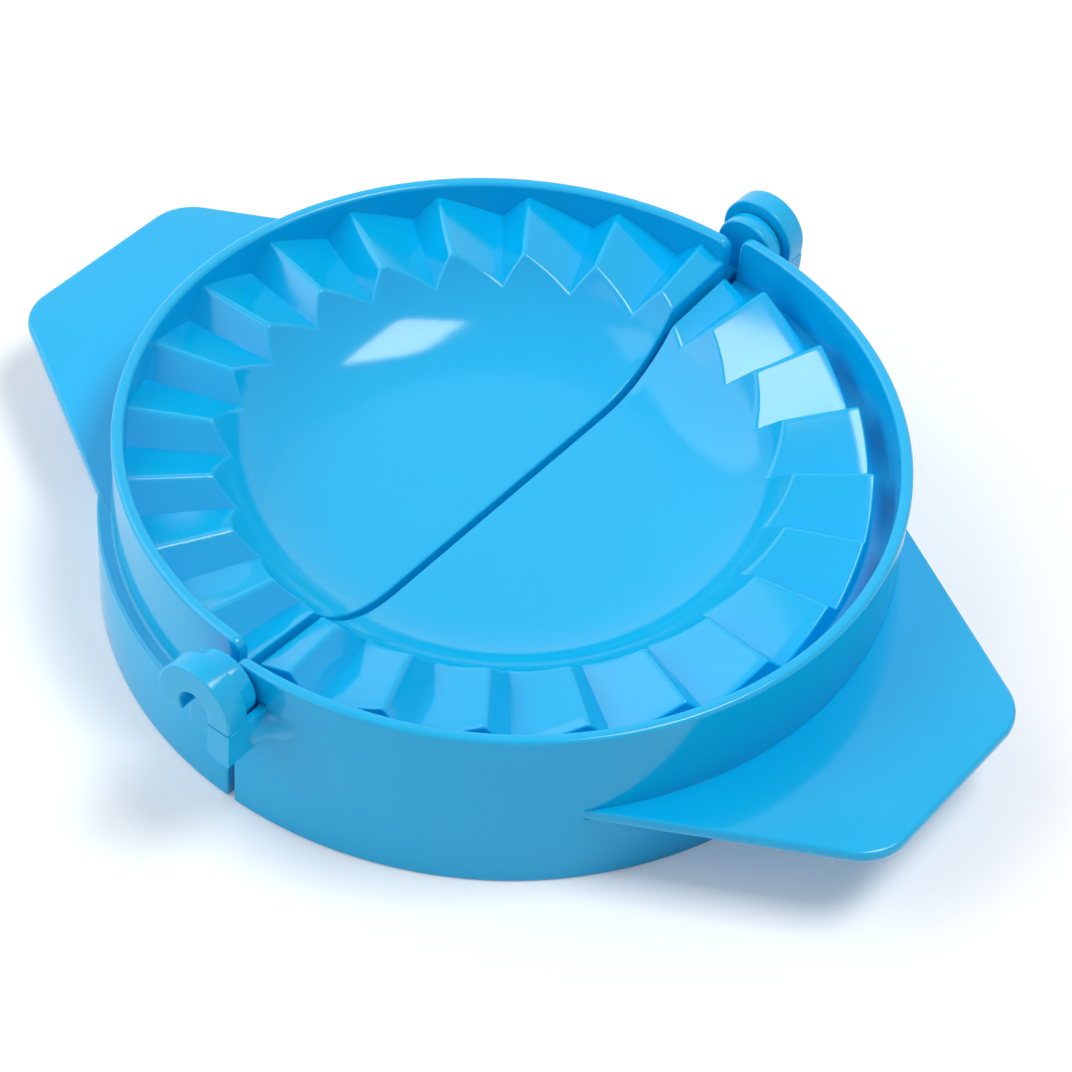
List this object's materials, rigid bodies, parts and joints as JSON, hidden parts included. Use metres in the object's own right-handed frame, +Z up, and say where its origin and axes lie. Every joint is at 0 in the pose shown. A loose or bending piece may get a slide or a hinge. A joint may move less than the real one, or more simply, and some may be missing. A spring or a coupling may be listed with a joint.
{
  "type": "empanada press",
  "caption": "Hinged round plastic press: two half dishes with toothed crimp rings fold together by their handles to seal a filled round of dough.",
  "frame": {"origin": "on the table, below the middle of the seam between the two open halves", "axes": "+X across the seam towards the outer half's handle, +Y along the hinge axis, +Z up"},
  "size_m": [0.138, 0.113, 0.0278],
  "materials": {
    "inner_half_plastic": "glossy moulded polypropylene",
    "outer_half_plastic": "glossy moulded polypropylene"
  },
  "bodies": {
    "inner_half": {"inner_rim": "inner_half_plastic", "inner_ledge": "inner_half_plastic", "inner_skirt": "inner_half_plastic", "inner_bowl": "inner_half_plastic", "inner_crimp_ring": "inner_half_plastic", "inner_seam_lip": "inner_half_plastic", "inner_handle": "inner_half_plastic", "inner_hub_near": "inner_half_plastic", "inner_hub_far": "inner_half_plastic", "inner_pin_near": "inner_half_plastic", "inner_pin_far": "inner_half_plastic"},
    "outer_half": {"outer_rim": "outer_half_plastic", "outer_channel": "outer_half_plastic", "outer_bowl": "outer_half_plastic", "outer_crimp_ring": "outer_half_plastic", "outer_seam_lip": "outer_half_plastic", "outer_handle": "outer_half_plastic", "outer_clip_near": "outer_half_plastic", "outer_clip_far": "outer_half_plastic", "outer_lug_near": "outer_half_plastic", "outer_lug_far": "outer_half_plastic"}
  },
  "joints": [
    {"name": "snap_hinge", "type": "hinge", "parent": "inner_half", "child": "outer_half", "pos_m": [0, 0, 0.0219], "axis": [0, -1, 0], "range_deg": [0, 180]}
  ]
}
